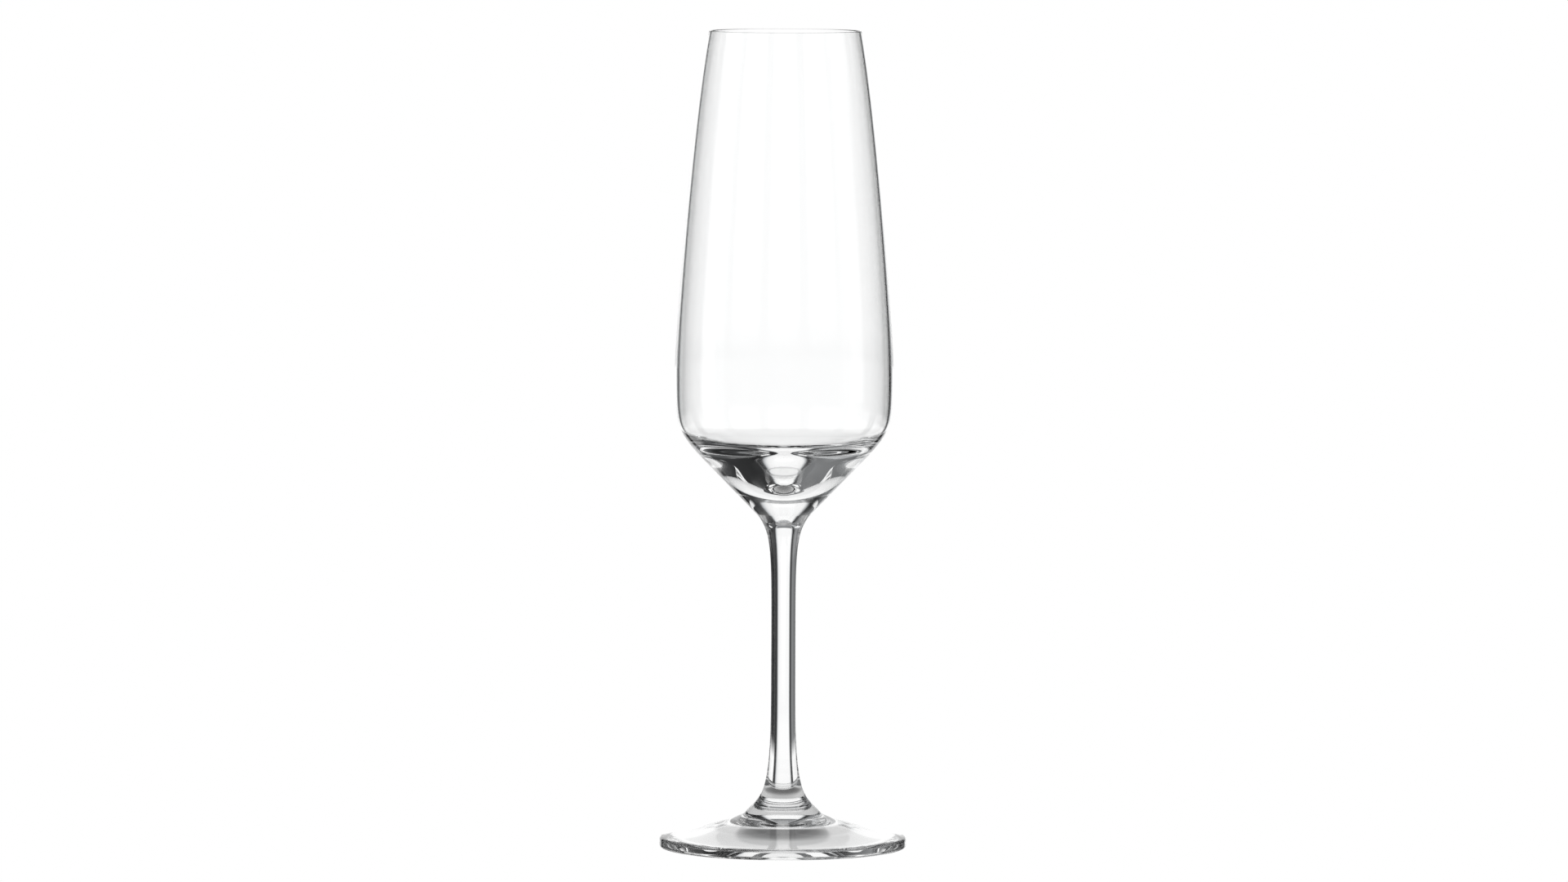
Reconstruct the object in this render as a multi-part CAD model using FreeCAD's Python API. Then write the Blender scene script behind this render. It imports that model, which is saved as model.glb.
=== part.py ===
import FreeCAD, Part
import math
import os

# Champagne flute in clear glass: bowl, stem and foot, fused end to end.
# The origin is the centre of the foot's underside and +Z is the axis of the glass.
# All lengths are in mm and all angles in degrees. A pull is how long a curve keeps
# its direction as it leaves a place. A fullness is how far a curve is drawn into the
# corner where its two end directions would cross: 0 is a straight line, 1 is the corner.

# Overall sizes
HEIGHT = 228.0           # foot underside to rim
RIM_RADIUS = 21.3        # outside of the mouth
BELLY_RADIUS = 30.5      # outside, at the widest place
STEM_RADIUS = 3.4        # at the waist of the stem
STEM_LENGTH = 83.85      # foot seam to bowl seam
FOOT_RADIUS = 34.45
FOOT_HEIGHT = 9.45       # table to foot seam

# Outside of the bowl, with heights taken up from the bowl seam
BOWL_SEAM_RADIUS = 7.6
BELLY_RISE = 40.7        # where the widest place is
RIM_LEAN = 10.6          # how far the side leans in at the rim, from upright
SIDE_PULL_RIM = 25.1
SIDE_PULL_BELLY = 7.4
SHOULDER_FULLNESS = 0.935
CONE_ANGLE = 44.3        # side of the conical base, from upright
CONE_RISE = 14.3         # where the shoulder becomes a straight cone

# Inside of the bowl, with heights taken up from the bowl seam
LIP_WALL = 0.7           # wall at the rim, rounded over its whole width
BELLY_WALL = 1.2         # wall at the widest place
INNER_PULL_RIM = 22.9
INNER_PULL_BELLY = 14.0
INNER_SHOULDER_FULLNESS = 0.82
HEEL_RISE = 19.33        # where the inner side turns into the floor
HEEL_WALL = 4.05         # level thickness of the cone there
HEEL_ANGLE = 70.0        # slope of the inside there, from upright
HEEL_FULLNESS = 0.99
HEEL_PULL_DOWN = 6.73
FLOOR_RISE = 7.87        # lowest point of the inside
FLOOR_PULL = 7.87        # half width of the nearly level middle of the floor

# Stem
WAIST_RISE = 35.35       # where the stem is thinnest, up from the foot seam
TOP_TRUMPET_ANGLE = 38.3
TOP_TRUMPET_FULLNESS = 1.12
TOP_WAIST_FULLNESS = 0.896
FOOT_SEAM_RADIUS = 10.8
FOOT_TRUMPET_ANGLE = 41.8
FOOT_TRUMPET_FULLNESS = 0.684
FOOT_WAIST_FULLNESS = 1.164

# Foot
DOME_SLOPE = 34.5        # slope of the top where it leaves the stem, from level
DOME_SLOPE_FULLNESS = 0.502
BRIM_SLOPE = 8.7         # slope of the top where it meets the edge, from level
BRIM_FULLNESS = 0.312
EDGE_HEIGHT = 2.12       # top of the upright part of the edge
TOP_EDGE_ROUND = 0.92
BOTTOM_EDGE_ROUND = 0.66
REST_RING_WIDTH = 2.9    # flat ring that touches the table
HOLLOW_RISE = 5.9        # how far the middle of the underside is lifted
HOLLOW_SLOPE = 12.0      # how steeply the underside leaves the ring, from level
HOLLOW_PULL_SHARE = 0.705  # how far each end keeps its direction, of the hollow's radius


def point(radius, height):
    """A place on the half outline of the glass."""
    return FreeCAD.Vector(radius, 0.0, height)


def toward(start, angle_from_up, length):
    """The place a length away from start; the angle opens outwards from upright."""
    angle = math.radians(angle_from_up)
    return start + point(length * math.sin(angle), length * math.cos(angle))


def sweep(start, start_handle, end_handle, end):
    """A smooth curve that leaves start and reaches end along its handles."""
    curve = Part.BezierCurve()
    curve.setPoles([start, start_handle, end_handle, end])
    return curve.toShape()


def crossing(start, start_angle, end, end_angle):
    """The corner where the directions taken from two places cross."""
    leave = toward(start, start_angle, 1.0) - start
    reach = toward(end, end_angle, 1.0) - end
    gap = end - start
    length = (gap.x * reach.z - gap.z * reach.x) / (leave.x * reach.z - leave.z * reach.x)
    return start + leave * length


def corner_sweep(start, start_angle, start_fullness, end, end_angle, end_fullness):
    """A smooth curve drawn towards the corner between two places."""
    corner = crossing(start, start_angle, end, end_angle)
    return sweep(start, start + (corner - start) * start_fullness,
                 end + (corner - end) * end_fullness, end)


def rounded(start, start_normal, end, end_normal, centre, radius):
    """A rounded corner whose two ends face the given angles from upright."""
    middle = toward(centre, (start_normal + end_normal) / 2, radius)
    return Part.Arc(start, middle, end).toShape()


def straight(start, end):
    return Part.makeLine(start, end)


def turned(edges):
    """The solid that the closed half outline makes when it is turned about the axis."""
    face = Part.Face(Part.Wire(edges))
    full_turn = 360.0
    solid = face.revolve(point(0.0, 0.0), FreeCAD.Vector(0.0, 0.0, 1.0), full_turn)
    if solid.Volume < 0:
        solid.reverse()
    return solid


def foot_seam():
    """Outer edge of the disc where the stem is fused to the foot."""
    return point(FOOT_SEAM_RADIUS, FOOT_HEIGHT)


def bowl_seam():
    """Outer edge of the disc where the bowl is fused to the stem."""
    return point(BOWL_SEAM_RADIUS, FOOT_HEIGHT + STEM_LENGTH)


def on_axis(place):
    return point(0.0, place.z)


def cone_side(rise):
    """The place on the straight side of the cone a rise above the bowl seam."""
    return toward(bowl_seam(), CONE_ANGLE, rise / math.cos(math.radians(CONE_ANGLE)))


def bowl_outside():
    """Outer side of the bowl, from the lip down to its seam."""
    rim = point(RIM_RADIUS, HEIGHT - LIP_WALL / 2)
    belly = point(BELLY_RADIUS, bowl_seam().z + BELLY_RISE)
    cone_top = cone_side(CONE_RISE)
    side = sweep(rim, toward(rim, 180.0 - RIM_LEAN, SIDE_PULL_RIM),
                 toward(belly, 0.0, SIDE_PULL_BELLY), belly)
    shoulder = corner_sweep(belly, 180.0, SHOULDER_FULLNESS,
                            cone_top, CONE_ANGLE, SHOULDER_FULLNESS)
    return [side, shoulder, straight(cone_top, bowl_seam())]


def bowl_inside():
    """Inner side of the bowl, from the middle of the floor up to the lip."""
    rim = point(RIM_RADIUS - LIP_WALL, HEIGHT - LIP_WALL / 2)
    belly = point(BELLY_RADIUS - BELLY_WALL, bowl_seam().z + BELLY_RISE)
    heel = cone_side(HEEL_RISE) - point(HEEL_WALL, 0.0)
    floor = point(0.0, bowl_seam().z + FLOOR_RISE)
    basin = sweep(floor, toward(floor, 90.0, FLOOR_PULL),
                  toward(heel, 180.0 + HEEL_ANGLE, HEEL_PULL_DOWN), heel)
    shoulder = corner_sweep(heel, HEEL_ANGLE, HEEL_FULLNESS,
                            belly, 180.0, INNER_SHOULDER_FULLNESS)
    side = sweep(belly, toward(belly, 0.0, INNER_PULL_BELLY),
                 toward(rim, 180.0 - RIM_LEAN, INNER_PULL_RIM), rim)
    return [basin, shoulder, side]


def bowl():
    """Thin-walled cup with a thick conical base, open at the top."""
    outer_rim = point(RIM_RADIUS, HEIGHT - LIP_WALL / 2)
    inner_rim = outer_rim - point(LIP_WALL, 0.0)
    lip_middle = outer_rim - point(LIP_WALL / 2, 0.0)
    lip = rounded(inner_rim, -90.0, outer_rim, 90.0, lip_middle, LIP_WALL / 2)
    floor = point(0.0, bowl_seam().z + FLOOR_RISE)
    seam_centre = on_axis(bowl_seam())
    return turned(bowl_inside() + [lip] + bowl_outside()
                  + [straight(bowl_seam(), seam_centre), straight(seam_centre, floor)])


def stem():
    """Solid stem with a trumpet at each end."""
    top, bottom = bowl_seam(), foot_seam()
    waist = point(STEM_RADIUS, bottom.z + WAIST_RISE)
    upper = corner_sweep(top, 180.0 + TOP_TRUMPET_ANGLE, TOP_TRUMPET_FULLNESS,
                         waist, 0.0, TOP_WAIST_FULLNESS)
    lower = corner_sweep(waist, 180.0, FOOT_WAIST_FULLNESS,
                         bottom, -FOOT_TRUMPET_ANGLE, FOOT_TRUMPET_FULLNESS)
    return turned([upper, lower, straight(bottom, on_axis(bottom)),
                   straight(on_axis(bottom), on_axis(top)), straight(on_axis(top), top)])


def foot():
    """Low domed disc with a rounded edge and a slightly hollow underside."""
    top = foot_seam()
    upper_side = point(FOOT_RADIUS, EDGE_HEIGHT)
    upper_centre = upper_side - point(TOP_EDGE_ROUND, 0.0)
    brim = toward(upper_centre, BRIM_SLOPE, TOP_EDGE_ROUND)
    dome = corner_sweep(top, 90.0 + DOME_SLOPE, DOME_SLOPE_FULLNESS,
                        brim, BRIM_SLOPE - 90.0, BRIM_FULLNESS)
    upper_round = rounded(brim, BRIM_SLOPE, upper_side, 90.0, upper_centre, TOP_EDGE_ROUND)
    lower_side = point(FOOT_RADIUS, BOTTOM_EDGE_ROUND)
    lower_centre = lower_side - point(BOTTOM_EDGE_ROUND, 0.0)
    rest_outer = lower_centre - point(0.0, BOTTOM_EDGE_ROUND)
    lower_round = rounded(lower_side, 90.0, rest_outer, 180.0, lower_centre, BOTTOM_EDGE_ROUND)
    rest_inner = rest_outer - point(REST_RING_WIDTH, 0.0)
    hollow_top = point(0.0, HOLLOW_RISE)
    pull = HOLLOW_PULL_SHARE * rest_inner.x
    hollow = sweep(rest_inner, toward(rest_inner, HOLLOW_SLOPE - 90.0, pull),
                   toward(hollow_top, 90.0, pull), hollow_top)
    return turned([dome, upper_round, straight(upper_side, lower_side), lower_round,
                   straight(rest_outer, rest_inner), hollow,
                   straight(hollow_top, on_axis(top)), straight(on_axis(top), top)])


def main():
    os.makedirs("parts", exist_ok=True)
    for node, shape in (("bowl", bowl()), ("stem", stem()), ("foot", foot())):
        shape.exportStep("parts/" + node + ".step")


main()
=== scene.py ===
import math

import bpy
from mathutils import Matrix, Vector


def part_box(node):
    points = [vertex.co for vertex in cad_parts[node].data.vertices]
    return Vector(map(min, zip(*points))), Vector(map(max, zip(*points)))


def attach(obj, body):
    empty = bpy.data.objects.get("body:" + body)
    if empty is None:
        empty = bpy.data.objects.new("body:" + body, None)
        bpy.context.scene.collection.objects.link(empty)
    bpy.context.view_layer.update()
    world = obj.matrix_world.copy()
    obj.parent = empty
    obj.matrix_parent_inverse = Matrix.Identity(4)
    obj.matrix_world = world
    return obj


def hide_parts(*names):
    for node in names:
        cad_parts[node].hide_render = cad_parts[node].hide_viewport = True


bl_info = {
    "name": "Champagne flute",
    "version": (1, 0, 0),
    "blender": (4, 5, 0),
    "location": "3D View > Sidebar > Flute",
    "description": "Turns a clear glass champagne flute from its half outlines and sets up its studio",
    "category": "Object",
}

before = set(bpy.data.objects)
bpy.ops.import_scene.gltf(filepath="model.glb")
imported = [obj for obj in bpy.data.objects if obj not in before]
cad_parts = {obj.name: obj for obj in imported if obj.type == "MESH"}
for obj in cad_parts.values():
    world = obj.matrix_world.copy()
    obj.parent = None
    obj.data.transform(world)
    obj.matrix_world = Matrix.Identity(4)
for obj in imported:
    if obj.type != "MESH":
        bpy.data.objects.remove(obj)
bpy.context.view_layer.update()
MM = 0.001

BOWL_LOW, BOWL_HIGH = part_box("bowl")
STEM_LOW, STEM_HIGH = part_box("stem")
FOOT_LOW, FOOT_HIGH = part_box("foot")

# Half outline of the glass. Lengths are in mm, angles in degrees. A pull is how long a
# stroke keeps its direction as it leaves a place. A fullness is how far a stroke is drawn
# into the corner where its two end directions cross: 0 is straight, 1 is the corner.
RIM_LEAN = 10.6
SIDE_PULL_RIM = 25.1
SIDE_PULL_BELLY = 7.4
BELLY_RISE = 40.7
SHOULDER_FULLNESS = 0.935
CONE_ANGLE = 44.3
CONE_RISE = 14.3
INNER_PULL_RIM = 22.9
INNER_PULL_BELLY = 14.0
INNER_SHOULDER_FULLNESS = 0.82
HEEL_RISE = 19.33
HEEL_WALL = 4.05
HEEL_ANGLE = 70.0
HEEL_FULLNESS = 0.99
HEEL_PULL_DOWN = 6.73
FLOOR_PULL = 7.87
BOWL_SEAM_RADIUS = 7.6
TOP_TRUMPET_ANGLE = 38.3
TOP_TRUMPET_FULLNESS = 1.12
TOP_WAIST_FULLNESS = 0.896
WAIST_RISE = 35.35
FOOT_SEAM_RADIUS = 10.8
FOOT_TRUMPET_ANGLE = 41.8
FOOT_TRUMPET_FULLNESS = 0.684
FOOT_WAIST_FULLNESS = 1.164
DOME_SLOPE = 34.5
DOME_SLOPE_FULLNESS = 0.502
BRIM_SLOPE = 8.7
BRIM_FULLNESS = 0.312
EDGE_HEIGHT = 2.12
TOP_EDGE_ROUND = 0.92
BOTTOM_EDGE_ROUND = 0.66
REST_RING_WIDTH = 2.9
HOLLOW_RISE = 5.9
HOLLOW_SLOPE = 12.0
HOLLOW_FULLNESS = 0.705

# The studio round the glass. The compass angle is 0 straight behind the glass and grows to
# its right; the height angle is 0 level with it. Each stop is an angle and a brightness, or
# an angle and how much of the named part shows there.
WALLS = (
    (-180, 0.12), (-116, 0.20), (-110, 0.55), (-99, 0.55), (-92, 0.25), (-82, 0.20), (-60, 0.20),
    (-45, 0.22), (-34, 0.27), (-31, 0.20), (-27, 0.06), (-24, 0.02), (-22, 0.15), (-20.5, 0.60),
    (-18, 1.04), (8, 1.04), (15, 0.97), (18, 0.70), (21, 0.08), (24, 0.02), (34, 0.01),
    (60, 0.01), (80, 0.02), (95, 0.03), (106, 0.06), (122, 0.09), (180, 0.12),
)
# The backdrop panel above and below the height that the walls are drawn for
BACKDROP = (
    (-90, 0.20), (-66, 0.20), (-60, 0.90), (-28, 0.95), (-26, 1.05), (29, 1.05), (30, 0.30),
    (31.5, 0.20), (35, 0.25), (40, 0.30), (50, 0.34), (62, 0.36),
)
BACKDROP_ACROSS = ((-21, 0.0), (-19, 1.0), (16, 1.0), (18, 0.0))
BACKDROP_UP = ((-30, 1.0), (-27, 0.0), (28.5, 0.0), (30, 1.0))
# Pale sectors low down, every 45 degrees round except behind the glass. Looked down on
# against one of them the glass is clear. It looks grey against the dark gap between two,
# and in a level view that has neither the backdrop nor the side panel behind the glass.
SWEEP = 1.05
SWEEP_MIDDLES = (-135, -90, -45, 45, 90, 135)
SWEEP_HALF = 15          # half width of a sector
SWEEP_SOFT = 3           # how wide its fading edge is
SWEEP_ACROSS = ((-180, 1.0), (SWEEP_HALF - 180, 1.0), (SWEEP_HALF + SWEEP_SOFT - 180, 0.0)) + tuple(
    (middle + side * (SWEEP_HALF + soft), 0.0 if soft else 1.0)
    for middle in SWEEP_MIDDLES
    for side, soft in ((-1, SWEEP_SOFT), (-1, 0), (1, 0), (1, SWEEP_SOFT))
) + ((180 - SWEEP_HALF - SWEEP_SOFT, 0.0), (180 - SWEEP_HALF, 1.0))
SWEEP_UP = ((-34, 0.0), (-30, 1.0), (-12, 1.0), (-9, 0.0))
# One level panel, square to the left of the glass
SIDE_PANEL_ACROSS = ((-101, 0.0), (-98, 1.0), (-82, 1.0), (-79, 0.0))
SIDE_PANEL_UP = ((-12, 0.0), (-9, 1.0), (5, 1.0), (8, 0.0))
HOT_SPOT = 1.17          # the panel is brightest right behind the bowl
HOT_SPOT_ACROSS = ((-10, 0.0), (-5, 1.0), (5, 1.0), (10, 0.0))
HOT_SPOT_UP = ((-6.2, 0.0), (-4.2, 1.0), (2, 1.0), (5, 0.0))
OVERHEAD_UP = ((64, 0.0), (67, 1.0))
BRIGHT = 0.9             # from here on a stop is plain white light, with no cast of the walls

# Painted shade under the foot, a glowing disc that only the glass sees: brightness from its middle to
# the edge of the foot
FOOT_PAINTED_SHADE = ((0.0, 0.15), (0.2, 0.15), (0.3, 0.25), (0.42, 0.62), (0.65, 0.68), (1.0, 0.78))
FOOT_PAINTED_SHADE_RADIUS = 36.0
FOOT_PAINTED_SHADE_DROP = 0.05   # how far below the table it lies
FOOT_PAINTED_SHADE_FADE = (27.0, 34.0)  # the radii between which it fades out

TABLE_RADIUS = 12.0      # in metres
STAGE_SIDES = 96         # sides of the round table and of the light under the foot
CAMERA_LENS = 214.67
CAMERA_SENSOR = 36.0
CAMERA_PLACE = (0.0, -2.6, 0.2949)
CAMERA_AIM = (0.0, 0.0, 0.11368)
CAMERA_ROLL = 0.19
CAMERA_CLIP = (0.1, 100.0)
GLASS_BOUNCES = 32       # clear glass needs a long path for its inner reflections
GLOSS_BOUNCES = 16

MERGE_REACH = 1e-6       # points nearer than this after the spin are one point
SMOOTH_ANGLE = 20        # a sharper corner than this stays sharp


def place(radius, height):
    """A place on the half outline, in metres."""
    return Vector((radius * MM, 0.0, height * MM))


def toward(start, angle_from_up, length):
    """The place a length away from start; the angle opens outwards from upright."""
    angle = math.radians(angle_from_up)
    return start + place(length * math.sin(angle), length * math.cos(angle))


class Outline:
    """A half outline, drawn stroke by stroke."""

    def __init__(self, start):
        self.knots = [start]
        self.leave = []
        self.arrive = []

    def sweep(self, leave, arrive, end):
        """A smooth stroke that leaves and arrives along its two handles."""
        self.leave.append(leave)
        self.arrive.append(arrive)
        self.knots.append(end)

    def straight(self, end):
        """A straight stroke."""
        start = self.knots[-1]
        third = (end - start) / 3
        self.sweep(start + third, end - third, end)

    def corner(self, angle, fullness, end, end_angle, end_fullness):
        """A smooth stroke drawn towards the corner where its end directions cross."""
        start = self.knots[-1]
        leave, reach = toward(start, angle, 1) - start, toward(end, end_angle, 1) - end
        gap = end - start
        length = (gap.x * reach.z - gap.z * reach.x) / (leave.x * reach.z - leave.z * reach.x)
        crossing = start + leave * length
        self.sweep(start.lerp(crossing, fullness), end.lerp(crossing, end_fullness), end)

    def rounding(self, centre, radius, start_angle, end_angle):
        """A circular stroke about a centre; the angles are those of the surface's normal."""
        pull = 4 / 3 * math.tan(math.radians(end_angle - start_angle) / 4) * radius
        end = toward(centre, end_angle, radius)
        self.sweep(toward(self.knots[-1], start_angle + 90, pull),
                   toward(end, end_angle - 90, pull), end)


def deselect():
    """Leaves edit mode and clears the selection."""
    if bpy.context.object and bpy.context.object.mode != "OBJECT":
        bpy.ops.object.mode_set(mode="OBJECT")
    bpy.ops.object.select_all(action="DESELECT")


def turned(name, outline, steps, resolution):
    """Spins a half outline about the axis into a closed solid."""
    deselect()
    bpy.ops.curve.primitive_bezier_curve_add(radius=MM)
    drawn = bpy.context.object
    spline = drawn.data.splines[0]
    spline.bezier_points.add(len(outline.knots) - len(spline.bezier_points))
    spline.resolution_u = drawn.data.resolution_u = resolution
    last = len(outline.knots) - 1
    for i, (knot, co) in enumerate(zip(spline.bezier_points, outline.knots)):
        knot.handle_left_type = knot.handle_right_type = "FREE"
        knot.co = co
        knot.handle_right = outline.leave[i] if i < last else co
        knot.handle_left = outline.arrive[i - 1] if i > 0 else co
    bpy.ops.object.convert(target="MESH")
    piece = bpy.context.object
    piece.name = piece.data.name = name
    bpy.ops.object.mode_set(mode="EDIT")
    bpy.ops.mesh.select_all(action="SELECT")
    bpy.ops.mesh.spin(steps=steps, angle=math.tau, center=(0, 0, 0), axis=(0, 0, 1))
    bpy.ops.mesh.select_all(action="SELECT")
    bpy.ops.mesh.remove_doubles(threshold=MERGE_REACH)
    bpy.ops.mesh.normals_make_consistent(inside=False)
    bpy.ops.object.mode_set(mode="OBJECT")
    bpy.ops.object.shade_smooth_by_angle(angle=math.radians(SMOOTH_ANGLE))
    return piece


def finish_glass(piece, node, glass, fused, seams):
    """Gives the piece its glass, and the fused seam faces at these heights their own finish."""
    piece.data.materials.clear()
    piece.data.materials.append(glass)
    piece.data.materials.append(fused)
    for face in piece.data.polygons:
        level = abs(face.normal.z) > 0.999
        if level and any(abs(face.center.z - z) < MERGE_REACH for z in seams):
            face.material_index = 1
    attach(piece, "root")
    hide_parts(node)


def node(tree, kind, spot):
    """A new node at a place on the node sheet."""
    made = tree.nodes.new(kind)
    made.location = spot
    return made


def bare_material(name):
    """A new material with an empty node sheet, and that sheet."""
    material = bpy.data.materials.new(name)
    material.use_nodes = True
    material.node_tree.nodes.clear()
    return material, material.node_tree


def clear_glass(name, tint, ripple_scale, ripple_height, stretch):
    """Polished clear glass with the faint waviness that blowing or drawing leaves in it."""
    material, tree = bare_material(name)
    out = node(tree, "ShaderNodeOutputMaterial", (600, 0))
    glass = node(tree, "ShaderNodeBsdfPrincipled", (300, 0))
    glass.inputs["Roughness"].default_value = 0.0
    glass.inputs["IOR"].default_value = bpy.context.scene.flute_glass.ior
    glass.inputs["Transmission Weight"].default_value = 1.0
    spots = node(tree, "ShaderNodeTexCoord", (-900, 0))
    mapping = node(tree, "ShaderNodeMapping", (-700, 0))
    mapping.inputs["Scale"].default_value = stretch
    clouds = node(tree, "ShaderNodeTexNoise", (-500, 150))
    clouds.inputs["Scale"].default_value = ripple_scale * 0.4
    clouds.inputs["Detail"].default_value = 2.0
    shades = node(tree, "ShaderNodeValToRGB", (-250, 200))
    shades.color_ramp.elements[0].color = (*[c * 0.985 for c in tint], 1.0)
    shades.color_ramp.elements[1].color = (*tint, 1.0)
    ripple = node(tree, "ShaderNodeTexNoise", (-500, -150))
    ripple.inputs["Scale"].default_value = ripple_scale
    ripple.inputs["Detail"].default_value = 1.0
    bump = node(tree, "ShaderNodeBump", (0, -200))
    bump.inputs["Strength"].default_value = 1.0
    bump.inputs["Distance"].default_value = ripple_height
    link = tree.links.new
    link(spots.outputs["Object"], mapping.inputs["Vector"])
    link(mapping.outputs["Vector"], clouds.inputs["Vector"])
    link(mapping.outputs["Vector"], ripple.inputs["Vector"])
    link(clouds.outputs["Fac"], shades.inputs["Fac"])
    link(shades.outputs["Color"], glass.inputs["Base Color"])
    link(ripple.outputs["Fac"], bump.inputs["Height"])
    link(bump.outputs["Normal"], glass.inputs["Normal"])
    link(glass.outputs["BSDF"], out.inputs["Surface"])
    return material


def fused_seam():
    """Where two pieces are melted together there is no surface left to see."""
    material = bpy.data.materials.get("fused_seam")
    if material:
        return material
    material, tree = bare_material("fused_seam")
    out = node(tree, "ShaderNodeOutputMaterial", (300, 0))
    clear = node(tree, "ShaderNodeBsdfTransparent", (0, 0))
    tree.links.new(clear.outputs["BSDF"], out.inputs["Surface"])
    return material


class FluteSizes(bpy.types.PropertyGroup):
    """Sizes of the glass that can be changed by themselves"""

    rim_radius: bpy.props.FloatProperty(
        name="Rim radius", description="Outside radius of the mouth",
        default=21.3 * MM, min=15 * MM, max=30 * MM, precision=4, subtype="DISTANCE", unit="LENGTH")
    belly_radius: bpy.props.FloatProperty(
        name="Belly radius", description="Outside radius at the widest place of the bowl",
        default=BOWL_HIGH.x, min=20 * MM, max=40 * MM, precision=4, subtype="DISTANCE", unit="LENGTH")
    stem_radius: bpy.props.FloatProperty(
        name="Stem radius", description="Radius of the stem at its waist",
        default=3.4 * MM, min=2.5 * MM, max=6 * MM, precision=4, subtype="DISTANCE", unit="LENGTH")
    foot_radius: bpy.props.FloatProperty(
        name="Foot radius", description="Outside radius of the foot",
        default=FOOT_HIGH.x, min=28 * MM, max=45 * MM, precision=4, subtype="DISTANCE", unit="LENGTH")
    lip_wall: bpy.props.FloatProperty(
        name="Lip wall", description="Thickness of the rounded lip",
        default=0.7 * MM, min=0.4 * MM, max=2 * MM, precision=4, subtype="DISTANCE", unit="LENGTH")
    belly_wall: bpy.props.FloatProperty(
        name="Belly wall", description="Thickness of the bowl at its widest place",
        default=1.2 * MM, min=0.7 * MM, max=4 * MM, precision=4, subtype="DISTANCE", unit="LENGTH")
    floor_rise: bpy.props.FloatProperty(
        name="Floor rise", description="Height of the lowest point of the inside above the stem",
        default=7.87 * MM, min=2 * MM, max=15 * MM, precision=4, subtype="DISTANCE", unit="LENGTH")
    steps: bpy.props.IntProperty(
        name="Steps round", description="How many facets the glass has round its axis",
        default=224, min=24, max=360)
    strokes: bpy.props.IntProperty(
        name="Steps per stroke", description="How finely each stroke of the outline is divided",
        default=28, min=6, max=64)


class FluteGlass(bpy.types.PropertyGroup):
    """Finish of the glass"""

    tint: bpy.props.FloatVectorProperty(
        name="Tint", description="Colour that the glass lends to light passing through it",
        default=(0.991, 0.993, 0.993), min=0, max=1, size=3, subtype="COLOR")
    ior: bpy.props.FloatProperty(
        name="Index of refraction", description="How strongly the glass bends light",
        default=1.5, min=1.3, max=1.8)
    ripple: bpy.props.FloatProperty(
        name="Ripple height", description="Height of the faint waviness of the surface",
        default=0.002 * MM, min=0, max=0.1 * MM, precision=6, subtype="DISTANCE", unit="LENGTH")


class FluteStudio(bpy.types.PropertyGroup):
    """Light and stage"""

    wall_tint: bpy.props.FloatVectorProperty(
        name="Wall tint", description="Colour cast of the grey studio walls",
        default=(0.98, 1.0, 1.02), min=0, max=2, size=3, subtype="COLOR")
    table: bpy.props.FloatVectorProperty(
        name="Table", description="Colour of the pale table",
        default=(1.0, 1.0, 1.0), min=0, max=1, size=3, subtype="COLOR")
    overhead: bpy.props.FloatProperty(
        name="Overhead light", description="Brightness of the soft box overhead",
        default=0.45, min=0, max=5)


class OBJECT_OT_flute_bowl(bpy.types.Operator):
    """Turn the bowl: rounded lip, tapered side and thick conical base"""

    bl_idname = "object.flute_bowl"
    bl_label = "Flute bowl"

    def execute(self, context):
        sizes, look = context.scene.flute_sizes, context.scene.flute_glass
        seam_height, height = BOWL_LOW.z / MM, BOWL_HIGH.z / MM
        lip = sizes.lip_wall / MM
        belly_radius = sizes.belly_radius / MM
        outer_rim = place(sizes.rim_radius / MM, height - lip / 2)
        inner_rim = outer_rim - place(lip, 0)
        floor = place(0.0, seam_height + sizes.floor_rise / MM)
        belly = place(belly_radius, seam_height + BELLY_RISE)
        inner_belly = belly - place(sizes.belly_wall / MM, 0)
        seam = place(BOWL_SEAM_RADIUS, seam_height)
        slant = 1 / math.cos(math.radians(CONE_ANGLE))
        cone_top = toward(seam, CONE_ANGLE, CONE_RISE * slant)
        heel = toward(seam, CONE_ANGLE, HEEL_RISE * slant) - place(HEEL_WALL, 0)
        line = Outline(floor)
        line.sweep(toward(floor, 90, FLOOR_PULL),
                   toward(heel, 180 + HEEL_ANGLE, HEEL_PULL_DOWN), heel)
        line.corner(HEEL_ANGLE, HEEL_FULLNESS, inner_belly, 180, INNER_SHOULDER_FULLNESS)
        line.sweep(toward(inner_belly, 0, INNER_PULL_BELLY),
                   toward(inner_rim, 180 - RIM_LEAN, INNER_PULL_RIM), inner_rim)
        lip_middle = outer_rim - place(lip / 2, 0)
        line.rounding(lip_middle, lip / 2, -90, 0)
        line.rounding(lip_middle, lip / 2, 0, 90)
        line.sweep(toward(outer_rim, 180 - RIM_LEAN, SIDE_PULL_RIM),
                   toward(belly, 0, SIDE_PULL_BELLY), belly)
        line.corner(180, SHOULDER_FULLNESS, cone_top, CONE_ANGLE, SHOULDER_FULLNESS)
        line.straight(seam)
        line.straight(place(0.0, seam_height))
        piece = turned("flute_bowl", line, sizes.steps, sizes.strokes)
        glass = clear_glass("blown_bowl_glass", look.tint, 60.0, look.ripple, (1, 1, 0.35))
        finish_glass(piece, "bowl", glass, fused_seam(), (BOWL_LOW.z,))
        return {"FINISHED"}


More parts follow.
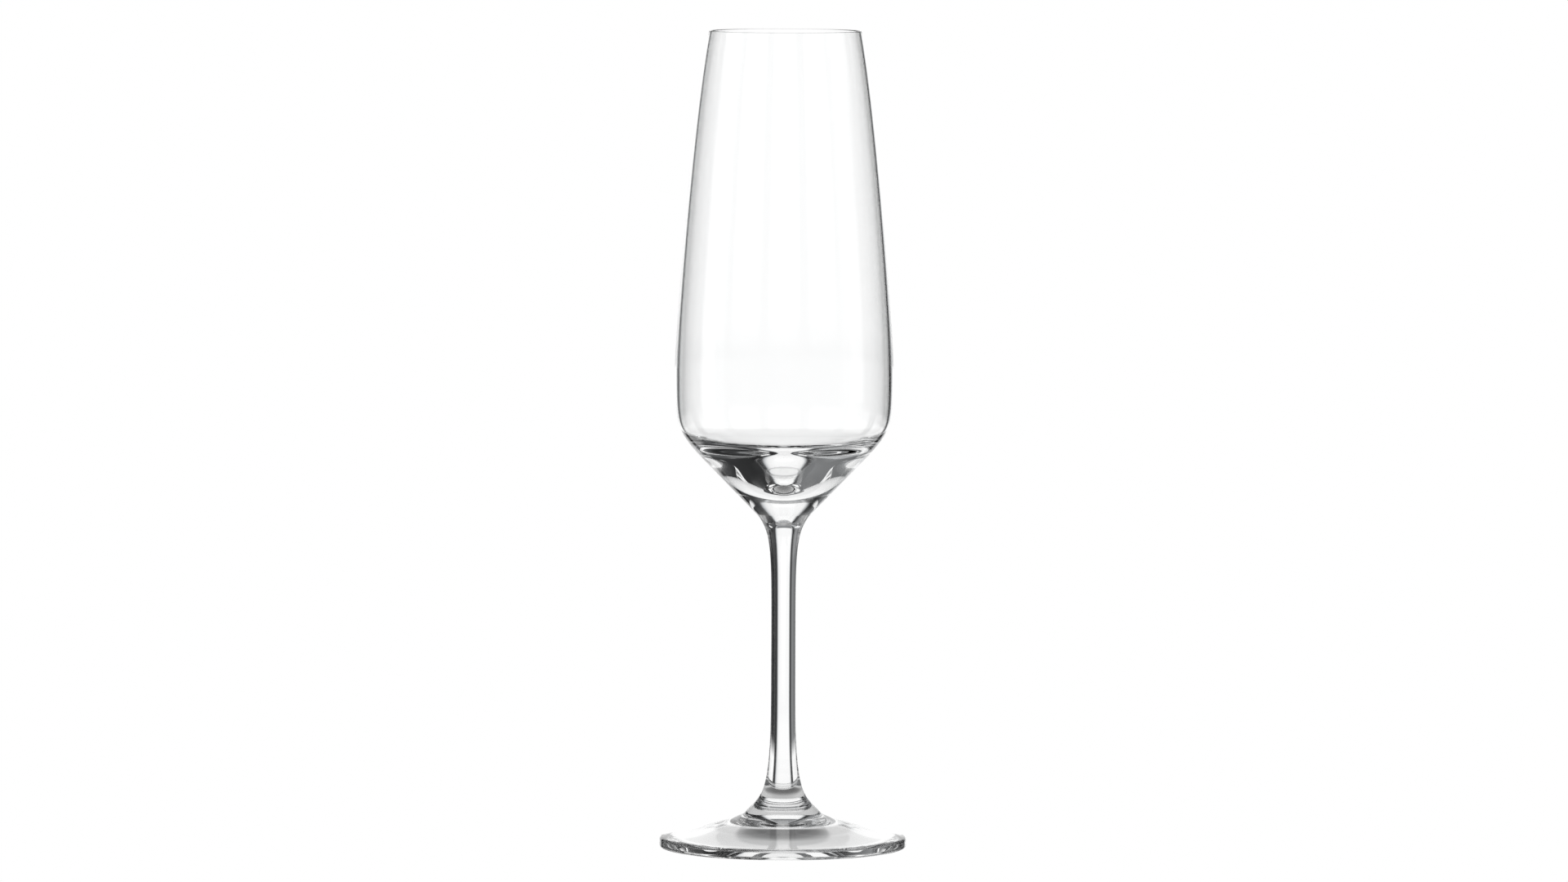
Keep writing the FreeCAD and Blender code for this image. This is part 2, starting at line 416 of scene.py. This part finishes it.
class OBJECT_OT_flute_stem(bpy.types.Operator):
    """Turn the drawn stem with a trumpet at each end"""

    bl_idname = "object.flute_stem"
    bl_label = "Flute stem"

    def execute(self, context):
        sizes, look = context.scene.flute_sizes, context.scene.flute_glass
        top_height, bottom_height = STEM_HIGH.z / MM, STEM_LOW.z / MM
        top = place(BOWL_SEAM_RADIUS, top_height)
        waist = place(sizes.stem_radius / MM, bottom_height + WAIST_RISE)
        bottom = place(FOOT_SEAM_RADIUS, bottom_height)
        line = Outline(place(0.0, top_height))
        line.straight(top)
        line.corner(180 + TOP_TRUMPET_ANGLE, TOP_TRUMPET_FULLNESS, waist, 0, TOP_WAIST_FULLNESS)
        line.corner(180, FOOT_WAIST_FULLNESS, bottom, -FOOT_TRUMPET_ANGLE, FOOT_TRUMPET_FULLNESS)
        line.straight(place(0.0, bottom_height))
        piece = turned("flute_stem", line, sizes.steps, sizes.strokes * 2)
        glass = clear_glass("drawn_stem_glass", look.tint, 120.0, look.ripple, (1, 1, 0.08))
        finish_glass(piece, "stem", glass, fused_seam(), (STEM_LOW.z, STEM_HIGH.z))
        return {"FINISHED"}


class OBJECT_OT_flute_foot(bpy.types.Operator):
    """Turn the foot: low dome, rounded edge and slightly hollow underside"""

    bl_idname = "object.flute_foot"
    bl_label = "Flute foot"

    def execute(self, context):
        sizes, look = context.scene.flute_sizes, context.scene.flute_glass
        top_height, radius = FOOT_HIGH.z / MM, sizes.foot_radius / MM
        top = place(FOOT_SEAM_RADIUS, top_height)
        upper_centre = place(radius - TOP_EDGE_ROUND, EDGE_HEIGHT)
        lower_centre = place(radius - BOTTOM_EDGE_ROUND, BOTTOM_EDGE_ROUND)
        brim = toward(upper_centre, BRIM_SLOPE, TOP_EDGE_ROUND)
        rest_inner = place(radius - BOTTOM_EDGE_ROUND - REST_RING_WIDTH, 0.0)
        hollow_top = place(0.0, HOLLOW_RISE)
        line = Outline(place(0.0, top_height))
        line.straight(top)
        line.corner(90 + DOME_SLOPE, DOME_SLOPE_FULLNESS, brim, BRIM_SLOPE - 90, BRIM_FULLNESS)
        line.rounding(upper_centre, TOP_EDGE_ROUND, BRIM_SLOPE, 90)
        line.straight(place(radius, BOTTOM_EDGE_ROUND))
        line.rounding(lower_centre, BOTTOM_EDGE_ROUND, 90, 180)
        line.straight(rest_inner)
        hollow_pull = HOLLOW_FULLNESS * rest_inner.x / MM
        line.sweep(toward(rest_inner, HOLLOW_SLOPE - 90, hollow_pull),
                   toward(hollow_top, 90, hollow_pull), hollow_top)
        piece = turned("flute_foot", line, sizes.steps, sizes.strokes)
        glass = clear_glass("pressed_foot_glass", look.tint, 70.0, look.ripple, (1, 1, 1))
        finish_glass(piece, "foot", glass, fused_seam(), (FOOT_HIGH.z,))
        return {"FINISHED"}


def ramp(tree, spot, stops, turn, tint=(1, 1, 1)):
    """Brightness by angle: stops are (degrees, brightness) and turn is the span of the angle."""
    made = node(tree, "ShaderNodeValToRGB", spot)
    bar = made.color_ramp
    bar.interpolation = "LINEAR"
    bar.elements.remove(bar.elements[1])
    bar.elements[0].position = stops[0][0] / turn + 0.5
    for degrees, _ in stops[1:]:
        bar.elements.new(degrees / turn + 0.5)
    for element, (_, level) in zip(bar.elements, stops):
        cast = tint if level < BRIGHT else (1, 1, 1)
        element.color = (*[level * c for c in cast], 1.0)
    return made


def math_node(tree, spot, operation, a, b=None, c=None):
    """One sum; each of its values is a number or the output of another node."""
    made = node(tree, "ShaderNodeMath", spot)
    made.operation = operation
    for socket, value in zip(made.inputs, (a, b, c)):
        if value is None:
            continue
        if isinstance(value, (int, float)):
            socket.default_value = value
        else:
            tree.links.new(value, socket)
    return made.outputs[0]


def mix(tree, spot, amount, low, high):
    """Blends two colours, each a tuple or the output of another node."""
    made = node(tree, "ShaderNodeMix", spot)
    made.data_type = "RGBA"
    tree.links.new(amount, made.inputs["Factor"])
    for socket, value in zip((made.inputs[6], made.inputs[7]), (low, high)):
        if isinstance(value, tuple):
            socket.default_value = (*value, 1.0)
        else:
            tree.links.new(value, socket)
    return made.outputs[2]


def studio_world(look):
    """A bright backdrop between dark flags, dim walls with pale panels, and light overhead."""
    world = bpy.data.worlds.new("studio")
    bpy.context.scene.world = world
    world.use_nodes = True
    tree = world.node_tree
    tree.nodes.clear()
    out = node(tree, "ShaderNodeOutputWorld", (1400, 0))
    light = node(tree, "ShaderNodeBackground", (1200, 0))
    sky = node(tree, "ShaderNodeTexCoord", (-1000, 0))
    split = node(tree, "ShaderNodeSeparateXYZ", (-800, 0))
    tree.links.new(sky.outputs["Generated"], split.inputs[0])
    x, y, z = split.outputs
    compass = math_node(tree, (-600, 100), "ARCTAN2", x, y)
    compass = math_node(tree, (-400, 100), "MULTIPLY_ADD", compass, 1 / math.tau, 0.5)
    height = math_node(tree, (-600, -200), "ARCSINE", z)
    height = math_node(tree, (-400, -200), "MULTIPLY_ADD", height, 1 / math.pi, 0.5)

    def by_compass(spot, stops):
        made = ramp(tree, spot, stops, 360.0, look.wall_tint)
        tree.links.new(compass, made.inputs[0])
        return made.outputs[0]

    def by_height(spot, stops):
        made = ramp(tree, spot, stops, 180.0, look.wall_tint)
        tree.links.new(height, made.inputs[0])
        return made.outputs[0]

    walls = by_compass((-100, 300), WALLS)
    inside = by_compass((-100, 0), BACKDROP_ACROSS)
    steep = by_height((-100, -300), BACKDROP_UP)
    behind = math_node(tree, (200, 0), "MULTIPLY", inside, steep)
    colour = mix(tree, (400, 100), behind, walls, by_height((200, -300), BACKDROP))
    for across, up, level in ((SWEEP_ACROSS, SWEEP_UP, SWEEP),
                              (SIDE_PANEL_ACROSS, SIDE_PANEL_UP, SWEEP),
                              (HOT_SPOT_ACROSS, HOT_SPOT_UP, HOT_SPOT)):
        share = math_node(tree, (600, -200), "MULTIPLY", by_compass((500, -100), across),
                          by_height((500, -300), up))
        colour = mix(tree, (500, 100), share, colour, (level,) * 3)
    over = (look.overhead,) * 3
    colour = mix(tree, (600, 100), by_height((400, -300), OVERHEAD_UP), colour, over)
    seen = node(tree, "ShaderNodeLightPath", (600, 400))
    colour = mix(tree, (900, 100), seen.outputs["Is Camera Ray"], colour, tuple(look.table))
    tree.links.new(colour, light.inputs["Color"])
    tree.links.new(light.outputs[0], out.inputs["Surface"])


def glow(name, colour):
    """An even light of one colour."""
    material, tree = bare_material(name)
    out = node(tree, "ShaderNodeOutputMaterial", (300, 0))
    light = node(tree, "ShaderNodeEmission", (0, 0))
    light.inputs["Color"].default_value = (*colour, 1.0)
    tree.links.new(light.outputs[0], out.inputs["Surface"])
    return material


class OBJECT_OT_flute_stage(bpy.types.Operator):
    """Lay the pale table and set the studio light and the camera"""

    bl_idname = "object.flute_stage"
    bl_label = "Flute stage"

    def execute(self, context):
        scene, look = context.scene, context.scene.flute_studio
        deselect()
        bpy.ops.mesh.primitive_circle_add(vertices=STAGE_SIDES, radius=TABLE_RADIUS, fill_type="NGON")
        table = context.object
        table.name = "table"
        table.data.materials.append(glow("pale_table", look.table))
        table.visible_transmission = False
        table.visible_glossy = False
        table.visible_diffuse = False
        deselect()
        # A glowing disc seen only through the foot: painted shade, dark under its middle and brighter
        # towards its edge
        bpy.ops.mesh.primitive_circle_add(
            vertices=STAGE_SIDES, radius=FOOT_PAINTED_SHADE_RADIUS * MM, fill_type="NGON",
            location=(0, 0, -FOOT_PAINTED_SHADE_DROP * MM))
        shade = context.object
        shade.name = "painted_foot_shade"
        shade.data.materials.append(painted_foot_shade())
        shade.visible_camera = False
        shade.visible_glossy = False
        studio_world(look)
        bpy.ops.object.camera_add()
        camera = context.object
        camera.name = "camera"
        camera.data.sensor_width = CAMERA_SENSOR
        camera.data.lens = CAMERA_LENS
        camera.data.clip_start, camera.data.clip_end = CAMERA_CLIP
        camera.location = CAMERA_PLACE
        look_along = (Vector(CAMERA_AIM) - camera.location).to_track_quat("-Z", "Y")
        roll = Matrix.Rotation(math.radians(CAMERA_ROLL), 3, "Z").to_quaternion()
        camera.rotation_mode = "QUATERNION"
        camera.rotation_quaternion = look_along @ roll
        scene.camera = camera
        scene.view_settings.view_transform = "Standard"
        scene.view_settings.look = "None"
        scene.cycles.max_bounces = GLASS_BOUNCES
        scene.cycles.transmission_bounces = GLASS_BOUNCES
        scene.cycles.glossy_bounces = GLOSS_BOUNCES
        scene.cycles.transparent_max_bounces = GLASS_BOUNCES
        scene.cycles.sample_clamp_indirect = 0.0
        return {"FINISHED"}


def painted_foot_shade():
    """Painted shade that the foot shows in place of the table under it: dim in the hollow middle,
    bright around it.
    """
    material, tree = bare_material("painted_foot_shade")
    out = node(tree, "ShaderNodeOutputMaterial", (900, 0))
    spots = node(tree, "ShaderNodeTexCoord", (-600, 0))
    length = node(tree, "ShaderNodeVectorMath", (-400, 0))
    length.operation = "LENGTH"
    inner = node(tree, "ShaderNodeMapRange", (-300, 0))
    inner.inputs["From Max"].default_value = FOOT_HIGH.x
    shades = node(tree, "ShaderNodeValToRGB", (-100, 0))
    bar = shades.color_ramp
    bar.elements[0].color = (*[FOOT_PAINTED_SHADE[0][1]] * 3, 1.0)
    bar.elements[1].color = (*[FOOT_PAINTED_SHADE[-1][1]] * 3, 1.0)
    for share, level in FOOT_PAINTED_SHADE[1:-1]:
        bar.elements.new(share).color = (level, level, level, 1.0)
    outer = node(tree, "ShaderNodeMapRange", (-200, -300))
    outer.inputs["From Min"].default_value = FOOT_PAINTED_SHADE_FADE[0] * MM
    outer.inputs["From Max"].default_value = FOOT_PAINTED_SHADE_FADE[1] * MM
    light = node(tree, "ShaderNodeEmission", (0, 100))
    clear = node(tree, "ShaderNodeBsdfTransparent", (0, -100))
    blend = node(tree, "ShaderNodeMixShader", (300, 0))
    link = tree.links.new
    link(spots.outputs["Object"], length.inputs[0])
    link(length.outputs["Value"], inner.inputs["Value"])
    link(length.outputs["Value"], outer.inputs["Value"])
    link(inner.outputs["Result"], shades.inputs["Fac"])
    link(shades.outputs["Color"], light.inputs["Color"])
    link(outer.outputs["Result"], blend.inputs["Fac"])
    link(light.outputs[0], blend.inputs[1])
    link(clear.outputs[0], blend.inputs[2])
    link(blend.outputs[0], out.inputs["Surface"])
    return material


class VIEW3D_PT_flute(bpy.types.Panel):
    """Sizes, finish and studio of the flute"""

    bl_idname = "VIEW3D_PT_flute"
    bl_label = "Champagne flute"
    bl_space_type = "VIEW_3D"
    bl_region_type = "UI"
    bl_category = "Flute"

    def draw(self, context):
        layout = self.layout
        for title, group in (("Sizes", context.scene.flute_sizes),
                             ("Glass", context.scene.flute_glass),
                             ("Studio", context.scene.flute_studio)):
            box = layout.box()
            box.label(text=title)
            for name in group.__annotations__:
                box.prop(group, name)
        for operator in OPERATORS:
            layout.operator(operator.bl_idname)


OPERATORS = (OBJECT_OT_flute_bowl, OBJECT_OT_flute_stem, OBJECT_OT_flute_foot,
             OBJECT_OT_flute_stage)
GROUPS = (("flute_sizes", FluteSizes), ("flute_glass", FluteGlass), ("flute_studio", FluteStudio))


def register():
    for name, group in GROUPS:
        bpy.utils.register_class(group)
        setattr(bpy.types.Scene, name, bpy.props.PointerProperty(type=group))
    for operator in OPERATORS:
        bpy.utils.register_class(operator)
    bpy.utils.register_class(VIEW3D_PT_flute)


def unregister():
    bpy.utils.unregister_class(VIEW3D_PT_flute)
    for operator in reversed(OPERATORS):
        bpy.utils.unregister_class(operator)
    for name, group in reversed(GROUPS):
        delattr(bpy.types.Scene, name)
        bpy.utils.unregister_class(group)


def main():
    register()
    bpy.ops.object.flute_bowl()
    bpy.ops.object.flute_stem()
    bpy.ops.object.flute_foot()
    bpy.ops.object.flute_stage()


if __name__ == "__main__":
    main()
